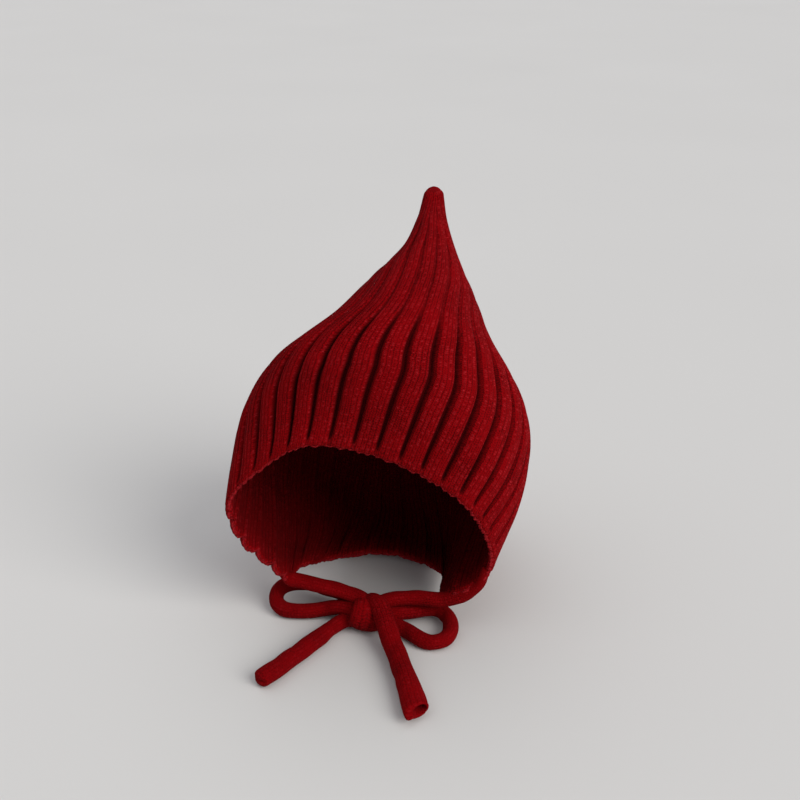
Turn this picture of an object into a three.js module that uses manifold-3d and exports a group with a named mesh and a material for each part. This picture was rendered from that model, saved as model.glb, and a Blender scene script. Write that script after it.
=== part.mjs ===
// A knitted pixie bonnet: one wide-ribbed hood with a soft peak, and two knitted cords tied in a bow.
// Millimetres, +Z up. The face opening looks along -Y, and the origin is where the crown of the
// wearer's head carries the hood. Heights in the tables are above the surface that the bow lies on.
import * as THREE from "three";
import { mergeVertices } from "three/addons/utils/BufferGeometryUtils.js";
import Module from "manifold-3d";

// Driving dimensions
const SEAT_HEIGHT = 127; // from the surface under the bow to the crown of the head
const RIB_COUNT = 38; // ribs round the hood
const GROOVE_PHASE = -0.43; // the groove nearest the middle of the forehead, in ribs to the right of it
const WALL = 3.6; // thickness of the knit on a rib
const GROOVE_SHARE = 0.17; // depth of a groove, as a share of a rib's width
const RIDGE_SHARE = 0.6; // how far a groove shows inside, as a share of its depth
const RELIEF_START = 0.03; // the cast-off edge below this is flat, with no grooves
const RIM_FADE = 0.35; // past this the rings no longer follow the rim
const PEAK_HEIGHT = 4.5; // of the rounded end above the last ring
const HOLLOW_END = 0.86; // the hollow closes here, below the solid peak
const CORD_DIAMETER = 7.6;
const FREE_END_DIAMETER = { bow_tail_left: 8.4, bow_tail_right: 9.6 }; // slack, so thicker
const CORD_SIDES = 8;
const CORD_STEP = 5.6; // length of one straight stretch of a cord's solid
const GAP = 0.35; // between solids that meet

// Rings of the hood, from the rim (along 0) to the peak (along 1). front and back are where a ring
// meets the middle plane, half is half its width, lean its shift to the right and twist its turn in degrees.
const RINGS = [
  { along: 0.0, frontY: -57, frontZ: 100, backY: 22, backZ: 5, half: 75, lean: -3, twist: -10 },
  { along: 0.11, frontY: -59, frontZ: 122, backY: 54, backZ: 5, half: 76, lean: 1, twist: -6 },
  { along: 0.24, frontY: -54, frontZ: 143, backY: 74, backZ: 18, half: 73, lean: 3, twist: 2 },
  { along: 0.38, frontY: -43, frontZ: 159, backY: 79.5, backZ: 45, half: 63, lean: 5, twist: 8 },
  { along: 0.52, frontY: -28, frontZ: 171, backY: 76, backZ: 79, half: 42, lean: 12, twist: 11 },
  { along: 0.65, frontY: -11, frontZ: 180, backY: 66, backZ: 116, half: 27.5, lean: 17, twist: 12 },
  { along: 0.78, frontY: 6, frontZ: 187.5, backY: 54, backZ: 149, half: 14.5, lean: 21, twist: 8 },
  { along: 0.9, frontY: 19, frontZ: 194.5, backY: 45, backZ: 179, half: 7.6, lean: 21.8, twist: 6 },
  { along: 1.0, frontY: 27, frontZ: 199, backY: 39, backZ: 201, half: 4.8, lean: 22.3, twist: 5 },
];

// The rim, round the face and the neck. rib counts from the middle of the forehead, and lead is how
// far the knit bows out beside the rim.
const RIM = [
  { rib: -17, x: -28.5, y: 6.5, z: 7.5, leadX: 0, leadY: 0, leadZ: 0 },
  { rib: -15, x: -38, y: -12, z: 16, leadX: -1, leadY: 1, leadZ: 0 },
  { rib: -13, x: -45, y: -29, z: 20, leadX: -5, leadY: 1, leadZ: -1 },
  { rib: -11.5, x: -50.5, y: -36, z: 31, leadX: -7, leadY: 1, leadZ: -2 },
  { rib: -9.5, x: -64, y: -39.5, z: 48.5, leadX: -5, leadY: 1, leadZ: -1 },
  { rib: -7.5, x: -67.5, y: -44.5, z: 72, leadX: -3, leadY: 3, leadZ: 4 },
  { rib: -5, x: -49.5, y: -49, z: 92.5, leadX: -1, leadY: 5, leadZ: 10 },
  { rib: -2.5, x: -28, y: -51.5, z: 106, leadX: 1, leadY: 5, leadZ: 11 },
  { rib: 0, x: -2, y: -52.5, z: 105, leadX: 0, leadY: 4, leadZ: 10 },
  { rib: 2.5, x: 23, y: -54, z: 97, leadX: -2, leadY: 2, leadZ: 7 },
  { rib: 5, x: 43, y: -53, z: 84, leadX: -1, leadY: 2, leadZ: 4 },
  { rib: 7.5, x: 54.5, y: -47, z: 66, leadX: 1, leadY: 2, leadZ: 2 },
  { rib: 9.5, x: 59.5, y: -41, z: 46.5, leadX: 0, leadY: 3, leadZ: 2 },
  { rib: 11.5, x: 53.5, y: -36.5, z: 28.5, leadX: -3, leadY: 4, leadZ: 1 },
  { rib: 13, x: 38, y: -34.5, z: 17, leadX: 0, leadY: 3, leadZ: 0 },
  { rib: 15, x: 35.5, y: -15, z: 7.5, leadX: 1, leadY: 1, leadZ: 0 },
  { rib: 17, x: 28, y: 7, z: 5, leadX: 0, leadY: 0, leadZ: 0 },
  { rib: 19, x: 0, y: 19, z: 5, leadX: 0, leadY: 0, leadZ: 0 },
];

// One rib across, from groove to groove: a narrow groove and a broad, nearly flat top.
const RIB_PROFILE = [
  { across: 0, depth: 1 },
  { across: 0.2, depth: 0.1 },
  { across: 0.8, depth: 0.1 },
];

const OUTER_ROWS = [0, 0.03, 0.07, 0.12, 0.17, 0.22, 0.28, 0.34, 0.4, 0.46, 0.52, 0.59, 0.66, 0.74, 0.82, 0.91, 1];
const INNER_ROWS = [0, 0.03, 0.1, 0.18, 0.27, 0.36, 0.46, 0.57, 0.7, HOLLOW_END];
const PEAK_ROWS = 2;

// The knot, and the wider ellipsoid inside which the roots of the cords belong to it.
const KNOT_MIDDLE = { x: 0, y: -38.5, z: 9 };
const KNOT = { halfX: 10, halfY: 9, halfZ: 8.7 };
const KNOT_REACH = { halfX: 19, halfY: 14.5, halfZ: 13 };

// The cords' routes as they lie. Each runs on into the knot, and a strap starts in the hood's wall.
const ROUTES = {
  tie_strap_left: [
    [-42.5, -29.2, 20.2],
    [-33, -29.8, 18.8],
    [-24, -30.8, 17.6],
    [-15, -32, 16.4],
    [-3, -37, 12],
  ],
  tie_strap_right: [
    [35.5, -34.2, 16.8],
    [28, -34, 16.8],
    [20, -34, 16.6],
    [12, -34.5, 15.8],
    [3, -37.5, 12.3],
  ],
  bow_loop_left: [
    [-4.3, -36.2, 9],
    [-16.5, -25.5, 10.5],
    [-23, -24, 11.5],
    [-30, -21.5, 11.8],
    [-37, -19.5, 11.3],
    [-43.8, -18.7, 10],
    [-49, -20.8, 8.4],
    [-50.6, -25.3, 6.4],
    [-49, -29.8, 4.8],
    [-44.5, -33.2, 4.1],
    [-38, -33.8, 4],
    [-31, -32.5, 4.2],
    [-23.5, -32, 5.5],
    [-16.5, -34, 8.3],
    [-4.6, -40, 9.8],
  ],
  bow_loop_right: [
    [4.9, -37.7, 9],
    [12.5, -36.5, 9],
    [19, -34, 8.3],
    [25.5, -29.5, 7],
    [31.5, -27.3, 6],
    [36.3, -30.2, 5],
    [39, -36.8, 4.4],
    [38.7, -43.8, 4],
    [35.6, -49.3, 4],
    [30, -51.6, 4],
    [24, -48.7, 4],
    [17.5, -43.5, 4],
    [4.2, -39.5, 6.8],
  ],
  bow_tail_left: [
    [-2.2, -39.7, 7.7],
    [-14.5, -39, 4.5],
    [-19, -46, 4.3],
    [-24.5, -55.5, 4.3],
    [-29, -63, 4.3],
    [-34.5, -71.5, 4.3],
    [-39.5, -80, 4.3],
    [-44, -86.5, 4.3],
  ],
  bow_tail_right: [
    [1.3, -41.7, 11.8],
    [7, -47.5, 12],
    [10.5, -53.5, 8.2],
    [14, -61.5, 6.2],
    [19, -74.5, 5.4],
    [23, -85.5, 5.4],
    [25.5, -94, 5.4],
    [27.5, -100, 5.6],
  ],
};

const wasm = await Module();
wasm.setup();

// The value at a place in a table: a cubic through its rows, with slopes from the neighbouring rows.
function between(rows, key, at) {
  const last = rows.length - 1;
  let i = 0;
  while (i < last - 1 && rows[i + 1][key] <= at) i += 1;
  const low = rows[i];
  const high = rows[i + 1];
  const slope = (k, name) => {
    const before = rows[Math.max(k - 1, 0)];
    const after = rows[Math.min(k + 1, last)];
    return (after[name] - before[name]) / (after[key] - before[key]);
  };
  const span = high[key] - low[key];
  const t = (at - low[key]) / span;
  const value = {};
  for (const name of Object.keys(low)) {
    value[name] =
      low[name] * (2 * t ** 3 - 3 * t ** 2 + 1) +
      slope(i, name) * span * (t ** 3 - 2 * t ** 2 + t) +
      high[name] * (3 * t ** 2 - 2 * t ** 3) +
      slope(i + 1, name) * span * (t ** 3 - t ** 2);
  }
  return value;
}

// The rim's table with a few rows repeated past each end, because the rim is one closed line.
const turned = (rows, ribs) => rows.map((row) => ({ ...row, rib: row.rib + ribs }));
const CLOSED_RIM = [...turned(RIM.slice(-3), -RIB_COUNT), ...RIM, ...turned(RIM.slice(0, 2), RIB_COUNT)];

// A point on a ring before the rim is set in: an ellipse between its front and its back.
function ringPoint(rib, along) {
  const ring = between(RINGS, "along", along);
  const turn = (rib / RIB_COUNT) * 2 * Math.PI + THREE.MathUtils.degToRad(ring.twist);
  const toFront = (1 + Math.cos(turn)) / 2;
  return new THREE.Vector3(
    ring.lean + ring.half * Math.sin(turn),
    ring.backY + (ring.frontY - ring.backY) * toFront,
    ring.backZ + (ring.frontZ - ring.backZ) * toFront,
  );
}

// A point on the tops of the ribs: the ring, drawn to the rim, which it follows less and less upwards.
function hoodPoint(rib, along) {
  const t = Math.min(along / RIM_FADE, 1);
  const point = ringPoint(rib, along);
  const rim = between(CLOSED_RIM, "rib", rib);
  const shift = new THREE.Vector3(rim.x, rim.y, rim.z).sub(ringPoint(rib, 0));
  const lead = new THREE.Vector3(rim.leadX, rim.leadY, rim.leadZ);
  point.addScaledVector(shift, (1 - t) ** 2 * (1 + 2 * t));
  return point.addScaledVector(lead, 4 * t * (1 - t) ** 2);
}

// The hood's slopes round and up at a point: the first gives a rib's width, and both its outward normal.
function slopes(rib, along) {
  const small = 0.01;
  const low = Math.max(along - small, 0);
  const high = Math.min(along + small, 1);
  const round = hoodPoint(rib + small, along).sub(hoodPoint(rib - small, along)).divideScalar(2 * small);
  const up = hoodPoint(rib, high).sub(hoodPoint(rib, low));
  return { ribWidth: round.length(), outward: round.cross(up).normalize() };
}

// The wall's outer and inner face at one column of a rib. A groove on the outside is a ridge inside.
function wallPoint(column, along, inside) {
  const { ribWidth, outward } = slopes(column.rib, along);
  const groove = GROOVE_SHARE * ribWidth * column.depth * Math.min(along / RELIEF_START, 1);
  const below = inside ? WALL + RIDGE_SHARE * groove : groove;
  return hoodPoint(column.rib, along).addScaledVector(outward, -below);
}

function ringMiddle(ring) {
  const sum = ring.reduce((total, point) => total.add(point), new THREE.Vector3());
  return sum.divideScalar(ring.length);
}

// A closed mesh from rings of points, drawn together to a point at each end.
function closedRings(first, rings, last) {
  const size = rings[0].length;
  const points = [first, ...rings.flat(), last];
  const index = [];
  const at = (ring, k) => 1 + ring * size + (k % size);
  for (let k = 0; k < size; k += 1) {
    index.push(0, at(0, k), at(0, k + 1));
    for (let ring = 0; ring < rings.length - 1; ring += 1) {
      index.push(at(ring, k), at(ring + 1, k), at(ring + 1, k + 1));
      index.push(at(ring, k), at(ring + 1, k + 1), at(ring, k + 1));
    }
    index.push(points.length - 1, at(rings.length - 1, k + 1), at(rings.length - 1, k));
  }
  const geometry = new THREE.BufferGeometry().setFromPoints(points);
  geometry.setIndex(index);
  return geometry;
}

// The hood, from the tip down its outside to the rim, and up its inside to the end of the hollow.
function hoodGeometry() {
  const columns = [];
  for (let rib = 0; rib < RIB_COUNT; rib += 1) {
    for (const { across, depth } of RIB_PROFILE) {
      columns.push({ rib: rib - RIB_COUNT / 2 + GROOVE_PHASE + across, depth });
    }
  }
  const ringAt = (along, inside) => columns.map((column) => wallPoint(column, along, inside));
  const outer = OUTER_ROWS.map((along) => ringAt(along, false));
  const inner = INNER_ROWS.map((along) => ringAt(along, true));
  const top = outer[outer.length - 1];
  const base = ringMiddle(top);
  const axis = base.clone().sub(ringMiddle(outer[outer.length - 2])).normalize();
  const tip = base.clone().addScaledVector(axis, PEAK_HEIGHT);
  const rounded = [];
  for (let row = 1; row <= PEAK_ROWS; row += 1) {
    const angle = (row / (PEAK_ROWS + 1)) * (Math.PI / 2);
    const lifted = base.clone().addScaledVector(axis, PEAK_HEIGHT * Math.sin(angle));
    rounded.push(top.map((point) => point.clone().sub(base).multiplyScalar(Math.cos(angle)).add(lifted)));
  }
  const rings = [...rounded.reverse(), ...outer.reverse(), ...inner];
  return closedRings(tip, rings, ringMiddle(inner[inner.length - 1]));
}

// A cord: a regular polygon carried along a smooth curve through the route's points.
function cordGeometry(name) {
  const route = new THREE.CatmullRomCurve3(ROUTES[name].map(([x, y, z]) => new THREE.Vector3(x, y, z)));
  const diameter = FREE_END_DIAMETER[name] ?? CORD_DIAMETER;
  const corners = [];
  for (let side = 0; side < CORD_SIDES; side += 1) {
    const angle = (side / CORD_SIDES) * 2 * Math.PI;
    corners.push(new THREE.Vector2(Math.cos(angle), Math.sin(angle)).multiplyScalar(diameter / 2));
  }
  const steps = Math.round(route.getLength() / CORD_STEP);
  return new THREE.ExtrudeGeometry(new THREE.Shape(corners), { steps, extrudePath: route, bevelEnabled: false });
}

function solid(geometry) {
  const bare = geometry.clone();
  bare.deleteAttribute("normal");
  bare.deleteAttribute("uv");
  const merged = mergeVertices(bare);
  return new wasm.Manifold(
    new wasm.Mesh({
      numProp: 3,
      vertProperties: new Float32Array(merged.attributes.position.array),
      triVerts: new Uint32Array(merged.index.array),
    }),
  );
}

function geometryOf(shape) {
  const mesh = shape.getMesh();
  const geometry = new THREE.BufferGeometry();
  geometry.setAttribute("position", new THREE.BufferAttribute(mesh.vertProperties, 3));
  geometry.setIndex(new THREE.BufferAttribute(mesh.triVerts, 1));
  return geometry;
}

// An ellipsoid round the knot's middle.
function ellipsoid({ halfX, halfY, halfZ }, more) {
  const ball = new THREE.SphereGeometry(1, 16, 10);
  ball.scale(halfX + more, halfY + more, halfZ + more);
  ball.translate(KNOT_MIDDLE.x, KNOT_MIDDLE.y, KNOT_MIDDLE.z);
  return solid(ball);
}

// What is left of a solid beside another, which is moved by the gap to every side and corner.
function keptClear(shape, other) {
  const steps = [-1, 0, 1];
  const ways = steps.flatMap((x) => steps.flatMap((y) => steps.map((z) => new THREE.Vector3(x, y, z))));
  return ways.reduce((rest, way) => rest.subtract(other.translate(way.setLength(GAP).toArray())), shape);
}

const tubes = Object.fromEntries(Object.keys(ROUTES).map((name) => [name, solid(cordGeometry(name))]));

// The knot: a round lump with the roots of all the cords.
function knotGeometry() {
  const roots = Object.values(tubes).reduce((sum, tube) => sum.add(tube), ellipsoid(KNOT, 0));
  return geometryOf(roots.intersect(ellipsoid(KNOT_REACH, 0)));
}

// A cord from where the knot ends to its other end. A crumb of a strap past the hood's wall is left out.
function freeCordGeometry(name, hood) {
  const free = keptClear(tubes[name].subtract(ellipsoid(KNOT_REACH, GAP)), hood);
  const [largest] = free.decompose().sort((a, b) => b.volume() - a.volume());
  return geometryOf(largest);
}

const knit = new THREE.MeshStandardMaterial({ color: 0x8c0a18, roughness: 0.95, metalness: 0 });
const cordKnit = new THREE.MeshStandardMaterial({ color: 0x7d0815, roughness: 0.95, metalness: 0 });

function piece(name, geometry, material) {
  const mesh = new THREE.Mesh(geometry, material);
  mesh.name = name;
  return mesh;
}

const worn = new THREE.Group();
worn.position.z = -SEAT_HEIGHT;
const hood = hoodGeometry();
const hoodSolid = solid(hood);
worn.add(piece("knit_crown", hood, knit));
worn.add(piece("bow_knot", knotGeometry(), cordKnit));
for (const name of Object.keys(ROUTES)) {
  worn.add(piece(name, freeCordGeometry(name, hoodSolid), cordKnit));
}

const group = new THREE.Group();
group.add(worn);

export default group;
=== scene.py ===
"""A knitted pixie bonnet: a wide-ribbed hood with a soft peak and two knitted cords tied in a bow.

Metres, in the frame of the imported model. Routes, tables and the sizes of the knit are in millimetres,
with heights above the surface that the bow lies on, as in the part's own source. placed() brings them
into the frame.
"""

import math

import bpy
import numpy as np
from mathutils import Matrix


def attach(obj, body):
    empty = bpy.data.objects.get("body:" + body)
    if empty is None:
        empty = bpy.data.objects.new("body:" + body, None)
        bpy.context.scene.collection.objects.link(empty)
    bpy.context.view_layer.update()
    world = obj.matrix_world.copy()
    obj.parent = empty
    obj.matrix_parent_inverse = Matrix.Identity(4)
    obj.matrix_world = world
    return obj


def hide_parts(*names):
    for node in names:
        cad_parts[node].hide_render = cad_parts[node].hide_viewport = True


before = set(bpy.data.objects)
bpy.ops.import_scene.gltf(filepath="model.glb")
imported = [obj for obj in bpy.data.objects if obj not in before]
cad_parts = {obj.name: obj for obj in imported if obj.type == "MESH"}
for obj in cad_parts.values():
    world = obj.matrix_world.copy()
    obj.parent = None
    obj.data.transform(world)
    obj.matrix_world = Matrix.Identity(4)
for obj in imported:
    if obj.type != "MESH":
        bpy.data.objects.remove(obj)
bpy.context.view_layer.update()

MM = 0.001
SEAT_HEIGHT = 127
FLOOR_Z = -SEAT_HEIGHT * MM
TURN = 2 * math.pi

# The camera, from the photograph: how far it is turned and raised, and what lies at which pixel
IMAGE_SIZE = 800
FOCAL_PIXELS = 1100
SENSOR_MM = 36
CAMERA_AZIMUTH = 6.2
CAMERA_ELEVATION = 25
CAMERA_DISTANCE = 545
LOOKED_AT = (0, 0, 80)
LOOKED_AT_PIXEL = (380.3, 449.1)

# The nearest and the furthest that the camera sees, in metres
NEAREST_SEEN = 0.01
FURTHEST_SEEN = 20

# The hood's ribs: their number, and where the groove nearest the middle of the forehead is, in ribs
RIB_COUNT = 38
GROOVE_PHASE = -0.43

# A groove, in rib widths: its depth, its half width at the edge, and what that gains above the edge
GROOVE_SHARE = 0.24
GROOVE_HALF = 0.085
GROOVE_GAIN = 0.03

# How much of a groove is lost past the middle of the way up, and again at the peak
LOST_ABOVE = 0.58
LOST_AT_PEAK = 0.4

# How far a groove shows as a ridge inside, as a share of its depth
RIDGE_SHARE = 0.4

# The top of a rib: how much it falls to its sides, in rib widths, and the depth of the lines on it
RIB_ROUNDING = 0.07
LINE_DEPTH = 0.32

# The scallops of the edge: how far each hangs down, and how much further beside the left cheek
SCALLOP = 0.6
CHEEK_SCALLOP = 2.5

# Beside the left cheek the grooves notch the edge: the ribs between which that sets in and ends
CHEEK_START = (-14.6, -13.6)
CHEEK_END = (-8.4, -7.4)

# The hood's wall, lip and peak, and the shares of the way up where the rim's pull and the hollow end
WALL = 3.6
LIP_DEPTH = 1.75
PEAK_HEIGHT = 2.9
RIM_FADE = 0.35
HOLLOW_END = 0.86

# The puckers where the peak is drawn together
PUCKERS = 7
PUCKER_DEPTH = 0.16

# The stitches: their size, the most wales on a rib, and the relief of those on a cord with its mean
WALE_WIDTH = 2.25
MAX_WALES = 5
COURSE_HEIGHT = 1.35
STITCH_RELIEF = 0.17
STITCH_MEAN = 0.6

# Rings of the hood: along, then y and z in front, y and z behind, half width, lean, twist in degrees,
# and how many times wider the ribs are in front than if they were even
RINGS = np.array([
    (0.00, -57, 100.0, 22.0, 5, 75.0, -3.0, -10, 1.0),
    (0.11, -59, 122.0, 54.0, 5, 76.0, 1.0, -4.8, 1.06),
    (0.24, -54, 143.0, 74.0, 18, 73.0, 3.0, 3, 1.08),
    (0.38, -43, 159.0, 79.5, 45, 63.0, 5.0, 7.3, 1.10),
    (0.52, -28, 171.0, 76.0, 79, 42.0, 12.0, 11, 1.2),
    (0.65, -11, 180.0, 66.0, 116, 27.5, 17.0, 13, 1.65),
    (0.78, 6, 187.5, 54.0, 149, 14.5, 21.0, 10, 2.5),
    (0.90, 19, 194.5, 45.0, 179, 7.6, 21.8, 9, 3.0),
    (1.00, 27, 199.0, 39.0, 201, 4.8, 22.3, 9, 3.2),
])

# The rim round the face and the neck: rib, x, y, z, then how far the knit bows out beside it, also
# in x, y and z
RIM = np.array([
    (-17.0, -28.5, 6.5, 7.5, 0, 0, 0),
    (-15.0, -38.0, -12.0, 16.0, -1, 1, 0),
    (-13.0, -45.0, -29.0, 20.0, -5, 1, -1),
    (-11.5, -50.5, -36.0, 31.0, -7, 1, -2),
    (-9.5, -64.0, -39.5, 48.5, -5, 1, -1),
    (-7.5, -67.5, -44.5, 72.0, -3, 3, 4),
    (-5.0, -49.5, -49.0, 92.5, -1, 5, 10),
    (-2.5, -28.0, -51.5, 106.0, 1, 5, 11),
    (0.0, -2.0, -52.5, 105.0, 0, 4, 10),
    (2.5, 23.6, -54.0, 96.6, -2, 2, 7),
    (5.0, 44.8, -52.5, 82.1, -1, 2, 4),
    (7.5, 55.5, -46.3, 63.7, 1, 2, 2),
    (9.5, 59.4, -40.6, 45.2, 0, 3, 2),
    (11.5, 53.5, -36.5, 28.5, -3, 4, 1),
    (13.0, 38.0, -34.5, 17.0, 0, 3, 0),
    (15.0, 35.5, -15.0, 7.5, 1, 1, 0),
    (17.0, 28.0, 7.0, 5.0, 0, 0, 0),
    (19.0, 0.0, 19.0, 5.0, 0, 0, 0),
])

# How thick the cords are: where they are drawn tight, on the whole, where they grow out of the edge,
# and at their slack ends. The right one gets thicker right after the knot.
CORD_DIAMETER = 7.6
ROOT_DIAMETER = 3.6
LEFT_END_DIAMETER = 8.8
RIGHT_END_DIAMETER = 10.8
RIGHT_GAIN_AT_KNOT = 1.9

# How far from the edge a cord is thinner
LEFT_ROOT = 7
RIGHT_ROOT = 24

# The wales round a cord, the points round it, and the length of a step along it
CORD_WALES = 14
CORD_SIDES = 60
CORD_STEP = 0.42

# The middle of the knot, and the way through its wrap
KNOT = np.array([-2.2, -38.3, 8.9])
KNOT_AXIS = np.array([1.0, 0.16, -0.22])

# The cords' routes, each from its corner of the hood, through the knot, round its loop and out again
LEFT_TIE = [
    (-46.8, -29.5, 23.5),
    (-42.5, -29.2, 20.2),
    (-33, -29.8, 18.8),
    (-24, -30.8, 17.6),
    (-15, -32, 16.4),
    (-7, -34, 14.9),
    (-2.4, -36.2, 13.9),
    (-0.6, -37, 11.6),
    (-2.8, -35.8, 9.3),
    (-9, -31.5, 9.3),
    (-16.5, -25.5, 10.5),
    (-23, -24, 11.5),
    (-30, -21.5, 11.8),
    (-37, -19.5, 11.3),
    (-43.8, -18.7, 10),
    (-49, -20.8, 8.4),
    (-50.6, -25.3, 6.4),
    (-49, -29.8, 4.8),
    (-44.5, -33.2, 4.1),
    (-38, -33.8, 4),
    (-31, -32.5, 4.2),
    (-23.5, -32, 5.5),
    (-16.5, -34, 8.3),
    (-9, -37.3, 9.7),
    (-4.3, -39.4, 9.5),
    (-2.3, -40, 7.5),
    (-4.3, -39.6, 5.4),
    (-9, -38.6, 4.7),
    (-14.5, -40, 4.4),
    (-19, -46, 4.3),
    (-24.5, -55.5, 4.3),
    (-29, -63, 4.3),
    (-34.5, -71.5, 4.4),
    (-39.5, -80, 4.5),
    (-44, -86.5, 4.5),
]
RIGHT_TIE = [
    (55.2, -38, 39),
    (52.3, -35.8, 28.5),
    (45, -34.6, 21.3),
    (35.5, -34.2, 16.8),
    (28, -34, 16.8),
    (20, -34, 16.6),
    (12, -34.5, 15.8),
    (5.4, -36, 14.5),
    (1.9, -37.3, 12.8),
    (1.6, -37.8, 10.2),
    (5, -37.6, 8.8),
    (12.5, -36.5, 9),
    (19, -34, 8.3),
    (25.5, -29.5, 7),
    (31.5, -27.3, 6),
    (36.3, -30.2, 5),
    (39, -36.8, 4.4),
    (38.7, -43.8, 4),
    (35.6, -49.3, 4),
    (30, -51.6, 4),
    (24, -48.7, 4),
    (17.5, -43.5, 4),
    (10, -40, 5.5),
    (3.5, -37.6, 7.4),
    (-1, -35.9, 9.4),
    (-2.6, -35.4, 12.4),
    (-0.4, -36.2, 15),
    (2.6, -39, 15.6),
    (5.2, -42.6, 14.5),
    (8.5, -49, 10.8),
    (11.5, -56, 7.6),
    (14, -61.5, 6.2),
    (19, -74.5, 5.4),
    (23, -85.5, 5.4),
    (25.5, -94, 5.4),
    (27.5, -100, 5.6),
]


def placed(points):
    """Millimetres above the surface, as metres in the frame."""
    return (np.asarray(points, float) - (0, 0, SEAT_HEIGHT)) * MM


def between(table, at):
    """The other columns of a table at places in its first: a cubic from row to row, whose slope at a
    row is the rise from the row before to the row after over their distance."""
    key, rows = table[:, 0], table[:, 1:]
    number = np.arange(len(key))
    before = np.maximum(number - 1, 0)
    after = np.minimum(number + 1, len(key) - 1)
    slope = (rows[after] - rows[before]) / (key[after] - key[before])[:, None]
    i = np.clip(np.searchsorted(key, at, side="right") - 1, 0, len(key) - 2)
    span = (key[i + 1] - key[i])[..., None]
    t = (np.asarray(at) - key[i])[..., None] / span
    return (
        rows[i] * (2 * t**3 - 3 * t**2 + 1)
        + slope[i] * span * (t**3 - 2 * t**2 + t)
        + rows[i + 1] * (3 * t**2 - 2 * t**3)
        + slope[i + 1] * span * (t**3 - t**2)
    )


def smooth(low, high, value):
    """0 up to low, 1 from high on, and an even S between them."""
    t = np.clip((value - low) / (high - low), 0, 1)
    return t * t * (3 - 2 * t)


def length_of(vectors):
    """The length of each vector."""
    return np.linalg.norm(vectors, axis=-1)


def unit(vectors):
    """Each vector at length 1."""
    return vectors / np.maximum(length_of(vectors), 1e-12)[..., None]


def turned_and_placed(x_axis, y_axis, z_axis, place):
    """The matrix of a camera or light whose own axes point these ways."""
    rows = np.eye(4)
    rows[:3] = np.stack([x_axis, y_axis, z_axis, place], -1)
    return Matrix(rows.tolist())


def mesh_object(name, points, faces, corner_uv=None):
    """A smooth-shaded object at the origin, from points in metres, faces and face corners' UVs."""
    mesh = bpy.data.meshes.new(name)
    mesh.from_pydata(points.reshape(-1, 3).tolist(), [], faces)
    if corner_uv is not None:
        layer = mesh.uv_layers.new(name="knit")
        layer.data.foreach_set("uv", np.asarray(corner_uv, np.float32).ravel())
    mesh.polygons.foreach_set("use_smooth", np.ones(len(mesh.polygons), bool))
    mesh.update()
    made = bpy.data.objects.new(name, mesh)
    bpy.context.scene.collection.objects.link(made)
    return made


def rings_object(name, rings, wales, courses, close_along=False):
    """Quads between rings of points, closed round each ring. The rings join end to end, or each end
    closes at a pole in the middle of its ring. wales holds two counts for each point, one for the face
    before it and one for the face after it, and courses a count for each point."""
    count, size = rings.shape[:2]
    i, k = np.meshgrid(np.arange(count if close_along else count - 1), np.arange(size), indexing="ij")
    above, beside = (i + 1) % count, (k + 1) % size
    quads = np.stack([i * size + k, i * size + beside, above * size + beside, above * size + k], -1)
    wales = np.broadcast_to(wales, (count, size, 2))
    courses = np.broadcast_to(courses, (count, size))
    up = np.vstack([courses, 2 * courses[-1:] - courses[-2:-1]])
    quad_uv = np.stack([
        np.stack([wales[i, k, 1], up[i, k]], -1),
        np.stack([wales[i, beside, 0], up[i, beside]], -1),
        np.stack([wales[above, beside, 0], up[i + 1, beside]], -1),
        np.stack([wales[above, k, 1], up[i + 1, k]], -1),
    ], -2)
    points, faces = rings.reshape(-1, 3), quads.reshape(-1, 4).tolist()
    uvs = quad_uv.reshape(-1, 2)
    if not close_along:
        ends = []
        for row, at_start in ((0, True), (count - 1, False)):
            pole = len(points)
            points = np.vstack([points, rings[row].mean(0)])
            ring = np.arange(size)
            after = (ring + 1) % size
            fan = [row * size + ring, row * size + after, np.full(size, pole)]
            low, high = wales[row, :, 1], wales[row, after, 0]
            corner = [
                np.stack([low, courses[row]], -1),
                np.stack([high, courses[row, after]], -1),
                np.stack([(low + high) / 2, courses[row]], -1),
            ]
            if at_start:
                fan, corner = fan[::-1], corner[::-1]
            faces += np.stack(fan, -1).tolist()
            ends.append(np.stack(corner, -2).reshape(-1, 2))
        uvs = np.vstack([uvs, *ends])
    return mesh_object(name, points, faces, uvs)


def round_tube(sides, wales):
    """Shares of a turn for the points of a ring, and at each of them the wales counted up to the face
    before it and from the face after it, which differ only where the ring closes."""
    share = np.arange(sides) / sides
    after = share * wales
    before = np.where(share > 0, after, wales)
    return share, np.stack([before, after], -1)


def finished(piece, material, slot, *nodes):
    """A piece with its material, on the one body, and the solids that it stands for hidden. slot is not
    used.
    """
    piece.data.materials.append(material)
    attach(piece, "root")
    if nodes:
        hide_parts(*nodes)
    return piece


# Camera


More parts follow.
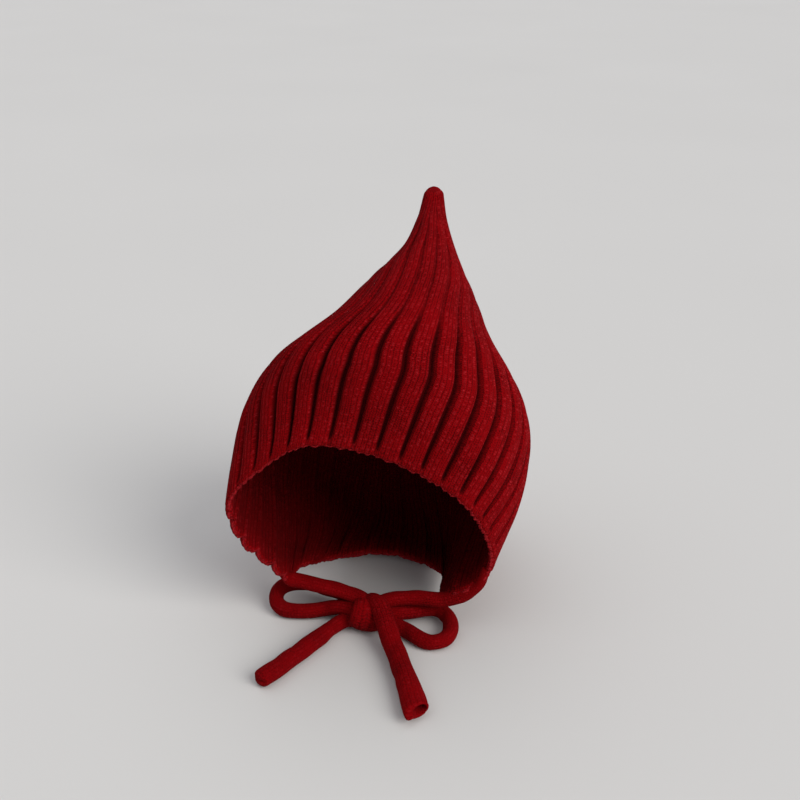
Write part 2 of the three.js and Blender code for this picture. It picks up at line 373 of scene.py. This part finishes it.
def add_camera():
    """A camera turned and raised about the point looked at, moved sideways and up so that the point
    falls on its pixel."""
    turn, lift = math.radians(CAMERA_AZIMUTH), math.radians(CAMERA_ELEVATION)
    back = np.array([math.sin(turn) * math.cos(lift), -math.cos(turn) * math.cos(lift), math.sin(lift)])
    right = np.array([math.cos(turn), math.sin(turn), 0])
    up = np.cross(back, right)
    middle = IMAGE_SIZE / 2
    aside = (LOOKED_AT_PIXEL[0] - middle) / FOCAL_PIXELS * CAMERA_DISTANCE
    below = (LOOKED_AT_PIXEL[1] - middle) / FOCAL_PIXELS * CAMERA_DISTANCE
    place = np.array(LOOKED_AT) + back * CAMERA_DISTANCE - right * aside + up * below
    camera = bpy.data.objects.new("camera", bpy.data.cameras.new("camera"))
    camera.data.sensor_width = SENSOR_MM
    camera.data.lens = FOCAL_PIXELS / IMAGE_SIZE * SENSOR_MM
    camera.data.clip_start = NEAREST_SEEN
    camera.data.clip_end = FURTHEST_SEEN
    camera.matrix_world = turned_and_placed(right, up, back, placed(place))
    bpy.context.scene.collection.objects.link(camera)
    bpy.context.scene.camera = camera


# Materials


class Tree:
    """Short ways to place and join the nodes of one tree. A value is a number, a colour or a socket."""

    def __init__(self, tree):
        self.tree = tree

    def node(self, kind, **settings):
        made = self.tree.nodes.new(kind)
        for name, value in settings.items():
            setattr(made, name, value)
        return made

    def feed(self, socket, value):
        if isinstance(value, bpy.types.NodeSocket):
            self.tree.links.new(value, socket)
        else:
            socket.default_value = value

    def math(self, operation, first, second=0.5, third=0.5):
        made = self.node("ShaderNodeMath", operation=operation)
        for socket, value in zip(made.inputs, (first, second, third)):
            self.feed(socket, value)
        return made.outputs[0]

    def ramp(self, value, low, high, to_low=0.0, to_high=1.0):
        made = self.node("ShaderNodeMapRange", interpolation_type="SMOOTHSTEP")
        for name, given in (("Value", value), ("From Min", low), ("From Max", high),
                            ("To Min", to_low), ("To Max", to_high)):
            self.feed(made.inputs[name], given)
        return made.outputs["Result"]

    def noise(self, place, scale, detail=2.0, roughness=0.5):
        made = self.node("ShaderNodeTexNoise")
        self.feed(made.inputs["Vector"], place)
        made.inputs["Scale"].default_value = scale
        made.inputs["Detail"].default_value = detail
        made.inputs["Roughness"].default_value = roughness
        return made.outputs["Fac"]

    def blend(self, share, first, second):
        made = self.node("ShaderNodeMix", data_type="RGBA")
        self.feed(made.inputs["Factor"], share)
        self.feed(made.inputs[6], first)
        self.feed(made.inputs[7], second)
        return made.outputs[2]


def new_group(name, inputs, outputs):
    """An empty node group with these inputs and outputs, and the nodes that hold them."""
    group = bpy.data.node_groups.new(name, "ShaderNodeTree")
    for label in inputs:
        group.interface.new_socket(label, in_out="INPUT", socket_type="NodeSocketFloat")
    for label in outputs:
        group.interface.new_socket(label, in_out="OUTPUT", socket_type="NodeSocketFloat")
    tree = Tree(group)
    return group, tree, tree.node("NodeGroupInput"), tree.node("NodeGroupOutput")


def stitch_group():
    """Knit stitches, from counts of wales and courses. Height: each wale is a column of Vs, and each leg
    of a V is a rounded strand. The second output is a painted highlight on the head of a stitch,
    stronger on some stitches than on others. Border: the line between two wales, where shade is painted."""
    outputs = ("Height", "Painted Highlight", "Border")
    group, tree, given, made = new_group("knit_stitches", ("Wale", "Course"), outputs)
    wale, course = given.outputs["Wale"], given.outputs["Course"]
    aside = tree.math("ABSOLUTE", tree.math("MULTIPLY_ADD", tree.math("FRACT", wale), 2.0, -1.0))
    leg = tree.math("SINE", tree.math("MULTIPLY", tree.math("MULTIPLY_ADD", aside, 0.8, 0.1), math.pi))
    rise = tree.math("MULTIPLY_ADD", aside, -0.7, course)
    strand = tree.math("MULTIPLY_ADD", tree.math("COSINE", tree.math("MULTIPLY", rise, TURN)), 0.5, 0.5)
    height = tree.math("MULTIPLY", leg, tree.math("MULTIPLY_ADD", strand, 0.65, 0.35))
    cell = tree.node("ShaderNodeCombineXYZ")
    tree.feed(cell.inputs[0], tree.math("FLOOR", wale))
    tree.feed(cell.inputs[1], tree.math("FLOOR", course))
    lot = tree.node("ShaderNodeTexWhiteNoise", noise_dimensions="2D")
    tree.feed(lot.inputs["Vector"], cell.outputs[0])
    head = tree.math("SINE", tree.math("MULTIPLY", tree.math("FRACT", course), math.pi))
    head = tree.math("MULTIPLY", tree.math("POWER", head, 2.0), tree.ramp(aside, 0.6, 0.1))
    # A painted highlight on the head of a stitch, on some stitches more than others
    painted_highlight = tree.math("MULTIPLY", head, tree.ramp(lot.outputs["Value"], 0.3, 1.0))
    tree.feed(made.inputs["Height"], height)
    tree.feed(made.inputs["Painted Highlight"], painted_highlight)
    tree.feed(made.inputs["Border"], tree.ramp(aside, 0.5, 1.0))
    return group


# The yarn's colours: painted shade at the bottom of a groove, painted shade between strands, which is
# also the dark side of the uneven dye, the cords, the hood, the edge, and painted highlights on stitches
SHADED_GROOVE_RED = (0.020, 0.0003, 0.0006, 1)
DYE_AND_SHADE_RED = (0.055, 0.0004, 0.0010, 1)
CORD_RED = (0.195, 0.0006, 0.0020, 1)
PLAIN_RED = (0.225, 0.0006, 0.0022, 1)
EDGE_RED = (0.30, 0.010, 0.014, 1)
PAINTED_HIGHLIGHT_RED = (0.50, 0.022, 0.030, 1)

# The share of painted shade at the bottom of a groove, and the painted shade on the inside, given as if
# it lay that deep in a groove, at the edge and what that gains above it
GROOVE_SHADE = 0.82
INSIDE_SHADE = 0.32
INSIDE_SHADE_GAIN = 0.18

# How fine the fibres and the unevenness of the dye are, in cycles to the metre
FIBRES = 3600
DYE_PATCHES = 60

# The bump of the yarn's strands and fibres, its height in millimetres
BUMP_STRENGTH = 0.5
BUMP_HEIGHT = 0.5


def knit_material(name, stitches, plain, painted_highlight_share, border_shade):
    """Wool knit from the counts of wales and courses in its UV map. Shade is painted into its colour
    between its strands, between the wales, down in the grooves and on the inside of the hood, and
    highlights are painted on the heads of scattered stitches. The yarn is also a little uneven in its
    dye."""
    material = bpy.data.materials.new(name)
    material.use_nodes = True
    material.node_tree.nodes.clear()
    tree = Tree(material.node_tree)
    uv = tree.node("ShaderNodeUVMap", uv_map="knit")
    split = tree.node("ShaderNodeSeparateXYZ")
    tree.feed(split.inputs[0], uv.outputs["UV"])
    where = tree.node("ShaderNodeTexCoord").outputs["Object"]
    knit = tree.node("ShaderNodeGroup", node_tree=stitches)
    wale = tree.math("MULTIPLY_ADD", tree.noise(where, 600, 1.0), 0.5, split.outputs[0])
    tree.feed(knit.inputs["Wale"], wale)
    course = tree.math("MULTIPLY_ADD", tree.noise(where, 450, 1.0), 1.6, split.outputs[1])
    tree.feed(knit.inputs["Course"], course)
    fibre = tree.noise(where, FIBRES, 3.0, 0.7)
    dye = tree.noise(where, DYE_PATCHES, 3.0, 0.6)
    height = tree.math("MULTIPLY_ADD", fibre, 0.4, knit.outputs["Height"])
    # Painted shade: the low parts of the stitches and the lines between wales are darkened, mixed with
    # the uneven dye and fibres
    dye_and_painted_shade = tree.math("MULTIPLY_ADD", dye, 0.55, tree.math("MULTIPLY", knit.outputs["Height"], 0.6))
    dye_and_painted_shade = tree.math("MULTIPLY_ADD", fibre, 0.3, dye_and_painted_shade)
    dye_and_painted_shade = tree.math("MULTIPLY_ADD", knit.outputs["Border"], -border_shade, dye_and_painted_shade)
    colour = tree.blend(tree.ramp(dye_and_painted_shade, 0.28, 0.88), DYE_AND_SHADE_RED, plain)
    # Painted highlights of bright red on the heads of scattered stitches
    painted_highlight = tree.math("MULTIPLY", knit.outputs["Painted Highlight"], tree.ramp(fibre, 0.35, 0.6))
    colour = tree.blend(tree.math("MULTIPLY", painted_highlight, painted_highlight_share), colour, PAINTED_HIGHLIGHT_RED)
    # Painted shade: towards the darkest red down in the grooves and on the inside of the hood
    depth = tree.node("ShaderNodeAttribute", attribute_name="painted_groove_shade").outputs["Fac"]
    colour = tree.blend(tree.ramp(depth, 0.05, 0.8, 0.0, GROOVE_SHADE), colour, SHADED_GROOVE_RED)
    relief = tree.node("ShaderNodeBump")
    relief.inputs["Strength"].default_value = BUMP_STRENGTH
    relief.inputs["Distance"].default_value = BUMP_HEIGHT * MM
    tree.feed(relief.inputs["Height"], height)
    shader = tree.node("ShaderNodeBsdfPrincipled")
    tree.feed(shader.inputs["Base Color"], colour)
    tree.feed(shader.inputs["Normal"], relief.outputs["Normal"])
    tree.feed(shader.inputs["Roughness"], tree.ramp(fibre, 0.3, 0.7, 0.95, 0.85))
    shader.inputs["Specular IOR Level"].default_value = 0.035
    shader.inputs["Sheen Weight"].default_value = 0.015
    shader.inputs["Sheen Roughness"].default_value = 0.5
    shader.inputs["Sheen Tint"].default_value = (0.9, 0.15, 0.15, 1)
    output = tree.node("ShaderNodeOutputMaterial")
    tree.feed(output.inputs["Surface"], shader.outputs[0])
    return material


# The board's two shades
BOARD_GREY = (0.635, 0.63, 0.615, 1)
BOARD_LIGHT = (0.665, 0.66, 0.645, 1)


def floor_material():
    """A matt pale board with a faint unevenness."""
    material = bpy.data.materials.new("pale_board")
    material.use_nodes = True
    material.node_tree.nodes.clear()
    tree = Tree(material.node_tree)
    where = tree.node("ShaderNodeTexCoord").outputs["Object"]
    shader = tree.node("ShaderNodeBsdfPrincipled")
    colour = tree.blend(tree.noise(where, 3, 2.0), BOARD_GREY, BOARD_LIGHT)
    tree.feed(shader.inputs["Base Color"], colour)
    shader.inputs["Roughness"].default_value = 0.6
    output = tree.node("ShaderNodeOutputMaterial")
    tree.feed(output.inputs["Surface"], shader.outputs[0])
    return material


# Cords


def smooth_path(route, step):
    """Points a step apart along a smooth curve through a route, which is a table keyed by the sum of
    the square roots of its stretches. Each is then drawn to the mean of its neighbours, the nearest
    weighing most, which eases the sharpest turns. Also gives how far along the curve each is."""
    route = np.array(route, float)
    key = np.concatenate([[0], np.cumsum(np.sqrt(length_of(np.diff(route, axis=0))))])
    fine_points = 3000
    fine = between(np.column_stack([key, route]), np.linspace(0, key[-1], fine_points))
    run = np.concatenate([[0], np.cumsum(length_of(np.diff(fine, axis=0)))])
    at = np.linspace(0, run[-1], int(run[-1] / step) + 1)
    points = np.stack([np.interp(at, run, fine[:, axis]) for axis in range(3)], -1)
    reach = 8
    weights = np.hanning(2 * reach + 3)[1:-1]
    before = 2 * points[0] - points[reach:0:-1]
    after = 2 * points[-1] - points[-2:-reach - 2:-1]
    longer = np.vstack([before, points, after])
    eased = [np.convolve(longer[:, axis], weights / weights.sum(), "valid") for axis in range(3)]
    return np.stack(eased, -1), at


def cord_frames(path):
    """For each point of a path that never stands upright: ahead, to the side, and up across it."""
    ahead = unit(np.gradient(path, axis=0))
    side = unit(np.cross(ahead, (0, 0, 1)))
    return ahead, side, np.cross(side, ahead)


def stitched(wale, course):
    """Relief of knit, from 0 to 1: columns of Vs, whose legs rise to each side."""
    aside = np.abs(2 * (wale % 1) - 1)
    strand = 0.5 + 0.5 * np.cos(TURN * (course - 0.7 * aside))
    return np.sin(math.pi * (0.1 + 0.8 * aside)) * (0.35 + 0.65 * strand)


def stitch_relief(wale, course):
    """How far the stitches of a cord stand out of its mean surface, in millimetres."""
    return STITCH_RELIEF * (stitched(wale, course) - STITCH_MEAN)


def cord_object(name, route, diameter_at, flat_at, end_rings):
    """A knitted tube: an ellipse carried along the route, flatter by flat_at and a little uneven, with
    stitches standing out of it. end_rings adds the rings that close its far end. Also gives the middles
    of its rings, and straight ahead of them the middle of the furthest."""
    unevenness = 0.16
    widening = 0.35
    path, run = smooth_path(route, CORD_STEP)
    ahead, side, up = cord_frames(path)
    share, wales = round_tube(CORD_SIDES, CORD_WALES)
    relief = stitch_relief(wales[None, :, 1], run[:, None] / COURSE_HEIGHT)
    wave = np.sin(run[:, None] / 3.1 + 2 * np.sin(TURN * share[None, :] + run[:, None] / 9))
    half = diameter_at(run, run[-1])[:, None] / 2 + relief + unevenness * wave
    flat = flat_at(run, run[-1])[:, None]
    wide, high = half * (1 + widening * flat), half * (1 - flat)
    cos, sin = np.cos(TURN * share), np.sin(TURN * share)
    rings = (
        path[:, None, :]
        + side[:, None, :] * (wide * cos)[..., None]
        + up[:, None, :] * (high * sin)[..., None]
    )
    rings, run = end_rings(rings, np.broadcast_to(run[:, None], rings.shape[:2]), path[-1], ahead[-1])
    made = rings_object(name, placed(rings), wales, run / COURSE_HEIGHT)
    reach = (rings[len(path):].mean(1) - path[-1]) @ ahead[-1]
    return made, np.vstack([path, path[-1] + reach.max() * ahead[-1]])


def blunt_end(rings, run, middle, ahead):
    """The last ring drawn in to a blunt end with a fold pressed into it."""
    rows = 8
    reach_share = 0.62
    fold_depth = 0.5
    fold_narrowness = 2.4
    bluntness = 0.7
    angle = np.arange(1, rows + 1)[:, None] / (rows + 0.4) * math.pi / 2
    spokes = rings[-1] - middle
    reach = reach_share * length_of(spokes).mean()
    turn = np.arange(rings.shape[1])[None, :] / rings.shape[1] * TURN
    fold = fold_depth * np.sin(angle) * np.exp(-((np.sin(turn) * fold_narrowness) ** 2))
    out = np.cos(angle) ** bluntness
    ahead_by = reach * np.sin(angle) - reach * fold * np.sin(angle)
    more = middle + spokes * out[..., None] + ahead * ahead_by[..., None]
    more_run = np.broadcast_to(run[-1] + reach * angle, more.shape[:2])
    return np.concatenate([rings, more]), np.concatenate([run, more_run])


def open_end(rings, run, middle, ahead):
    """The slack end, cut at a slant: its thick edge turns over into a small hollow to one side of the
    middle, and the corner on the long side is drawn out to a point."""
    steps = np.array([  # share of the radius, share of the way to the hollow, and millimetres ahead
        (1.02, 0.0, 0.8), (1.02, 0.0, 1.6), (0.97, 0.0, 2.3), (0.88, 0.1, 2.8), (0.77, 0.3, 2.9),
        (0.65, 0.6, 2.6), (0.55, 0.9, 1.8), (0.48, 1.0, 0.4), (0.43, 1.0, -1.6), (0.36, 1.0, -4.0),
    ])
    long_side = -0.35
    corner_width = 0.45
    corner_reach = 2.0
    slant = 1.7
    edge_height = 2.4
    hollow_aside = 0.3
    step_run = 0.9
    turn = np.arange(rings.shape[1]) / rings.shape[1] * TURN
    away = np.abs((turn - long_side + math.pi) % TURN - math.pi)
    spokes = rings[-1] - middle
    aside = spokes[len(turn) // 2] * hollow_aside
    share, moved, forward = steps[:, 0, None], steps[:, 1, None], steps[:, 2, None]
    at_edge = np.clip(forward / edge_height, 0, 1)
    pull = at_edge * (corner_reach * np.exp(-((away / corner_width) ** 2)) + slant * np.cos(away))
    more = (
        middle
        + spokes * share[..., None]
        + aside * moved[..., None]
        + ahead * (forward + pull)[..., None]
    )
    step_number = np.arange(1, len(steps) + 1)[:, None]
    more_run = np.broadcast_to(run[-1] + step_number * step_run, more.shape[:2])
    return np.concatenate([rings, more]), np.concatenate([run, more_run])


def add_ties(material):
    """The two cords. Each grows out of the rolled edge of the hood at its corner, the right one over a
    longer way, and is slack and thicker towards its end. run is the length from its start to a ring,
    and whole its length."""

    def left_diameter(run, whole):
        root = (CORD_DIAMETER - ROOT_DIAMETER) * (1 - smooth(0, LEFT_ROOT, run))
        slack = (LEFT_END_DIAMETER - CORD_DIAMETER) * smooth(whole - 52, whole - 26, run)
        uneven = 0.25 * np.sin(run / 5.1) * smooth(whole - 60, whole - 40, run)
        return CORD_DIAMETER - root + slack + uneven

    def right_diameter(run, whole):
        root = (CORD_DIAMETER - ROOT_DIAMETER) * (1 - smooth(0, RIGHT_ROOT, run))
        over_knot = RIGHT_GAIN_AT_KNOT * smooth(whole - 76, whole - 62, run)
        gain_after = RIGHT_END_DIAMETER - CORD_DIAMETER - RIGHT_GAIN_AT_KNOT
        slack = gain_after * smooth(whole - 40, whole, run)
        return CORD_DIAMETER - root + over_knot + slack

    def left_flatness(run, whole):
        return 0.04 + 0.04 * smooth(whole - 20, whole, run)

    def right_flatness(run, whole):
        return 0.04 + 0.30 * smooth(whole - 26, whole, run)

    left, left_path = cord_object("tie_left", LEFT_TIE, left_diameter, left_flatness, blunt_end)
    finished(left, material, "cord_knit", "tie_strap_left", "bow_loop_left", "bow_tail_left")
    right, right_path = cord_object("tie_right", RIGHT_TIE, right_diameter, right_flatness, open_end)
    finished(right, material, "cord_knit", "tie_strap_right", "bow_loop_right", "bow_tail_right")
    return (left, left_path), (right, right_path)


def add_knot(material):
    """The wrap of the knot: a cord drawn tight round the bundle, as a ring whose section is wide along
    the ring's axis and thin across it, fuller in front, with its stitches running round the ring."""
    turns = 170
    sides = 44
    knot_wales = 12
    round_length = 48
    ring_radius = 5.0
    half_width = 7.9
    half_thickness = 3.6
    squareness = 0.95
    turn = np.arange(turns) / turns
    axis = unit(KNOT_AXIS)
    front = unit(np.cross(axis, (0, 0, 1)))
    up = np.cross(axis, front)
    radial = front * np.cos(TURN * turn)[:, None] + up * np.sin(TURN * turn)[:, None]
    share, wales = round_tube(sides, knot_wales)
    course = turn[:, None] * round_length / COURSE_HEIGHT
    relief = stitch_relief(wales[None, :, 1], course)
    cos, sin = np.cos(TURN * share), np.sin(TURN * share)
    fuller = 1 + 0.10 * np.cos(TURN * (turn - 0.04))[:, None]
    wide = half_width * fuller * np.sign(cos) * np.abs(cos) ** squareness + relief * cos
    thick = (half_thickness + relief) * fuller * sin
    rings = KNOT + radial[:, None, :] * (ring_radius + thick)[..., None] + axis * wide[..., None]
    made = rings_object("knot_wrap", placed(rings[:, ::-1]), wales[::-1], course, close_along=True)
    return finished(made, material, "cord_knit", "bow_knot")


# Hood


def closed_rim():
    """The rim's table with a few rows repeated past each end, because the rim is one closed line. Its
    first row then follows its last, RIB_COUNT ribs on."""
    low, high = RIM[-3:].copy(), RIM[:2].copy()
    low[:, 0] -= RIB_COUNT
    high[:, 0] += RIB_COUNT
    return np.vstack([low, RIM, high])


RIM_ROUND = closed_rim()


def ring_point(rib, along):
    """A point on a ring before the rim is set in: an ellipse between its front and its back. Towards
    the peak the ribs keep their width in front, and crowd together behind."""
    columns = np.moveaxis(between(RINGS, along), -1, 0)
    front_y, front_z, back_y, back_z, half_width, lean, twist, spread = columns
    half_turn = rib / RIB_COUNT * math.pi
    turn = 2 * np.arctan2(spread * np.sin(half_turn), np.cos(half_turn)) + np.radians(twist)
    to_front = (1 + np.cos(turn)) / 2
    x = lean + half_width * np.sin(turn)
    y = back_y + (front_y - back_y) * to_front
    z = back_z + (front_z - back_z) * to_front
    return np.stack([x, y, z], -1)


def hood_point(rib, along):
    """A point on the tops of the ribs: the ring, drawn to the rim, which it follows less upwards."""
    rib, along = np.broadcast_arrays(np.asarray(rib, float), np.asarray(along, float))
    t = np.minimum(along / RIM_FADE, 1)[..., None]
    rim = between(RIM_ROUND, rib)
    edge, bulge = rim[..., :3], rim[..., 3:]
    shift = edge - ring_point(rib, np.zeros_like(along))
    pulled = shift * (1 - t) ** 2 * (1 + 2 * t)
    return ring_point(rib, along) + pulled + bulge * 4 * t * (1 - t) ** 2


def hood_slopes(rib, along):
    """A rib's width there, the outward normal, and the way up the rib."""
    small = 0.01
    low, high = np.maximum(along - small, 0), np.minimum(along + small, 1)
    across = (hood_point(rib + small, along) - hood_point(rib - small, along)) / (2 * small)
    up = unit(hood_point(rib, high) - hood_point(rib, low))
    return length_of(across), unit(np.cross(across, up)), up


def groove_strength(rib, along):
    """How far open a groove is, from 0 to 1: it starts a little above the edge, except beside the left
    cheek, where it notches the edge itself, and it flattens towards the peak."""
    cheek = smooth(*CHEEK_START, rib) * (1 - smooth(*CHEEK_END, rib))
    start = np.maximum(smooth(0.002, 0.018, along), cheek)
    above = 1 - LOST_ABOVE * smooth(0.36, 0.5, along)
    return start * above * (1 - LOST_AT_PEAK * smooth(0.8, 0.95, along))


def wale_counts(number, across, width):
    """Wales counted round the hood: at most MAX_WALES on a rib, and fewer where it is narrower."""
    on_rib = np.clip(width / WALE_WIDTH, 1, MAX_WALES)
    return (number + RIB_COUNT) * (MAX_WALES + 1) + MAX_WALES / 2 + (across - 0.5) * on_rib


def rib_relief(number, across, width, along):
    """How far the face of a rib lies below its top, in millimetres, and how deep in a groove it is,
    from 0 to 1: a groove at each side, a rounded top, and a shallow line between each two wales."""
    to_groove = np.minimum(across, 1 - across)
    strength = groove_strength(number + across, along)
    half = GROOVE_HALF + GROOVE_GAIN * smooth(0.01, 0.1, along)
    groove = np.exp(-((to_groove / half) ** 2)) * strength
    rounding = RIB_ROUNDING * (1 - np.sin(math.pi * across)) * smooth(0.0, 0.04, along)
    line = 0.5 + 0.5 * np.cos(TURN * wale_counts(number, across, width))
    line = LINE_DEPTH * line * (1 - 0.8 * groove) * np.clip(width / 4, 0, 1)
    return (groove * GROOVE_SHARE + rounding) * width + line, groove


def rib_columns():
    """Places across a rib: close together in the groove, and about four to a wale on top."""
    groove = [0, 0.035, 0.07]
    top = list(0.105 + 0.79 * np.arange(20) / 19)
    return np.array(groove + top + [0.93, 0.965])


def hood_face(rows, number, across, scallop, inside):
    """One face of the hood, a ring of points for each share of the way up: the outside, or the inside,
    which lies a wall deeper and where a groove is a ridge. The edge hangs down by scallop. Also gives
    the wales, how deep in a groove each point is, the outward normal and the way up."""
    along = rows[:, None]
    rib = number + across + GROOVE_PHASE
    width, outward, up = hood_slopes(rib[None, :], along)
    relief, depth = rib_relief(number[None, :], across[None, :], width, along)
    below = WALL + RIDGE_SHARE * relief if inside else relief
    droop = -scallop * (1 - smooth(0, 0.045, along))
    points = hood_point(rib[None, :], along) - outward * below[..., None] + up * droop[..., None]
    wale_after = wale_counts(number[None, :], across[None, :], width)
    wale_before = np.where(across > 0, wale_after, wale_counts(number[None, :] - 1, 1.0, width))
    return points, np.stack([wale_before, wale_after], -1), depth, outward, up


def rim_lip(outside, inside, up):
    """The rounded lip between the two faces, half an ellipse over the rim, and its crest."""
    middle, half = (outside[0] + inside[0]) / 2, (outside[0] - inside[0]) / 2
    angle = np.arange(1, 5)[:, None, None] / 5 * math.pi
    lip = middle + half * np.cos(angle) - up[0] * LIP_DEPTH * np.sin(angle)
    return lip, middle - up[0] * LIP_DEPTH


def peak_cap(outside, rib):
    """The rounded end of the peak: the last ring closes in by the cosine of an angle and rises by its
    sine, and puckers press into it."""
    base = outside[-1].mean(0)
    axis = unit(base - outside[-2].mean(0))
    lift = (np.arange(1, 7) / 7 * math.pi / 2)[:, None, None]
    fold = (0.5 + 0.5 * np.cos(TURN * rib * PUCKERS / RIB_COUNT))[None, :, None]
    pucker = 1 - PUCKER_DEPTH * np.sin(lift) * fold
    closing = np.cos(lift) ** 1.25
    return base + (outside[-1] - base) * closing * pucker + axis * PEAK_HEIGHT * np.sin(lift)


def add_hood(material):
    """The hood: its outside from the peak down to the rim, over the rim's rounded lip and up the inside
    to the end of the hollow. Also gives, round the rim, the ribs, the crest of the lip, the outward
    normal and the way up."""
    columns = rib_columns()
    number = np.repeat(np.arange(RIB_COUNT) - RIB_COUNT / 2, len(columns))
    across = np.tile(columns, RIB_COUNT)
    rib = number + across + GROOVE_PHASE
    outer_rows = np.concatenate([[0.006, 0.011, 0.017, 0.025, 0.035], np.linspace(0.048, 1, 70)])
    inner_rows = np.concatenate([[0.006, 0.018, 0.045], np.linspace(0.08, HOLLOW_END, 13)])
    at_cheek = groove_strength(rib, 0.0)
    scallop = np.abs(np.sin(math.pi * across)) * (SCALLOP + CHEEK_SCALLOP * at_cheek)
    outer = hood_face(outer_rows, number, across, scallop, inside=False)
    inner = hood_face(inner_rows, number, across, scallop, inside=True)
    outside, outer_wales, outer_depth, _, up = outer
    inside, inner_wales, _, outward, _ = inner
    lip, crest = rim_lip(outside, inside, up)
    cap = peak_cap(outside, rib)

    rings = np.concatenate([cap[::-1], outside[::-1], lip, inside])
    rise = np.concatenate([[0], np.cumsum(length_of(np.diff(rings, axis=0)).mean(1))])
    at_rim = rise[len(cap) + len(outside) - 1]
    courses = np.broadcast_to(((at_rim - rise) / COURSE_HEIGHT)[:, None], rings.shape[:2])
    wales = np.concatenate([
        np.broadcast_to(outer_wales[-1], (len(cap), *outer_wales[-1].shape)), outer_wales[::-1],
        np.broadcast_to(outer_wales[0], (len(lip), *outer_wales[0].shape)), inner_wales,
    ])
    hood = rings_object("knit_hood", placed(rings), wales, courses)

    # The painted shade of each point: its depth in a groove outside, and a set amount on the inside
    depth = np.zeros(rings.shape[:2])
    depth[len(cap):len(cap) + len(outside)] = outer_depth[::-1]
    depth[-len(inside):] = INSIDE_SHADE + INSIDE_SHADE_GAIN * smooth(0.0, 0.05, inner_rows)[:, None]
    at_poles = [0, 0]
    attribute = hood.data.attributes.new("painted_groove_shade", "FLOAT", "POINT")
    attribute.data.foreach_set("value", np.append(depth.ravel(), at_poles).astype(np.float32))
    finished(hood, material, "hood_knit", "knit_crown")
    return rib, crest, outward[0], up[0]


def add_edge(material, rib, crest, outward, up):
    """The cast-off edge: a fine chain of links along the crest of the lip, each a V that points along
    the rim, on a slim tube that rises and falls a little."""
    steps_in_link = 6
    half_width = 0.95
    half_height = 0.62
    swelling = 0.3
    mean_rise = 0.25
    rise_and_fall = 0.4
    links = RIB_COUNT * MAX_WALES
    fine = np.arange(links * steps_in_link) / steps_in_link / MAX_WALES - RIB_COUNT / 2

    def along_rim(values):
        columns = [np.interp(fine, rib, values[:, axis], period=RIB_COUNT) for axis in range(3)]
        return np.stack(columns, -1)

    crest, outward, up = along_rim(crest), unit(along_rim(outward)), unit(along_rim(up))
    share, wales = round_tube(10, 2)
    cos, sin = np.cos(TURN * share), np.sin(TURN * share)
    half = 1 + swelling * np.cos(TURN * (fine[:, None] * MAX_WALES - 0.8 * np.abs(cos)[None, :]))
    uneven = mean_rise + rise_and_fall * np.sin(fine * 14 + 2 * np.sin(fine * 1.9))
    rings = (
        (crest + up * uneven[:, None])[:, None, :]
        + outward[:, None, :] * (half_width * half * cos)[..., None]
        - up[:, None, :] * (half_height * half * sin)[..., None]
    )
    run = np.concatenate([[0], np.cumsum(length_of(np.diff(crest, axis=0)))])
    courses = np.broadcast_to(run[:, None] / COURSE_HEIGHT, rings.shape[:2])
    made = rings_object("cast_off_edge", placed(rings), wales, courses, close_along=True)
    return finished(made, material, "hood_knit")


# Stage


def add_floor():
    """A wide flat board under the bow."""
    half = 6.0
    corners = [(-half, -half), (half, -half), (half, half), (-half, half)]
    points = np.array([(x, y, FLOOR_Z) for x, y in corners])
    board = mesh_object("floor", points, [(0, 1, 2, 3)])
    board.data.materials.append(floor_material())


def add_light(name, toward, spread, power, colour):
    """An even light from the direction toward it, as soft as its spread in degrees."""
    lamp = bpy.data.lights.new(name, "SUN")
    lamp.angle = math.radians(spread)
    lamp.energy = power
    lamp.color = colour
    made = bpy.data.objects.new(name, lamp)
    backward = unit(np.array(toward, float))
    right = unit(np.cross((0, 0, 1), backward))
    up = np.cross(backward, right)
    made.matrix_world = turned_and_placed(right, up, backward, (0, 0, 1))
    bpy.context.scene.collection.objects.link(made)


def add_lights():
    """A broad light from the right and front, a softer one from above, and an even pale surround."""
    add_light("window", toward=(0.9, -0.62, 0.75), spread=40, power=2.1, colour=(1, 0.98, 0.95))
    add_light("ceiling", toward=(-0.2, 0.1, 1.1), spread=90, power=0.7, colour=(0.98, 0.99, 1))
    world = bpy.data.worlds.new("surround")
    world.use_nodes = True
    background = world.node_tree.nodes["Background"]
    background.inputs["Color"].default_value = (0.95, 0.95, 1, 1)
    background.inputs["Strength"].default_value = 0.42
    bpy.context.scene.world = world
    bpy.context.scene.view_settings.view_transform = "Standard"


add_camera()
stitches = stitch_group()
hood_knit = knit_material("hood_knit", stitches, plain=PLAIN_RED, painted_highlight_share=0.8, border_shade=0.15)
cord_knit = knit_material("cord_knit", stitches, plain=CORD_RED, painted_highlight_share=0.35, border_shade=0.04)
edge_knit = knit_material("edge_knit", stitches, plain=EDGE_RED, painted_highlight_share=0.9, border_shade=0.1)

ties = add_ties(cord_knit)
knot = add_knot(cord_knit)
rim_line = add_hood(hood_knit)
add_edge(edge_knit, *rim_line)
add_floor()
add_lights()
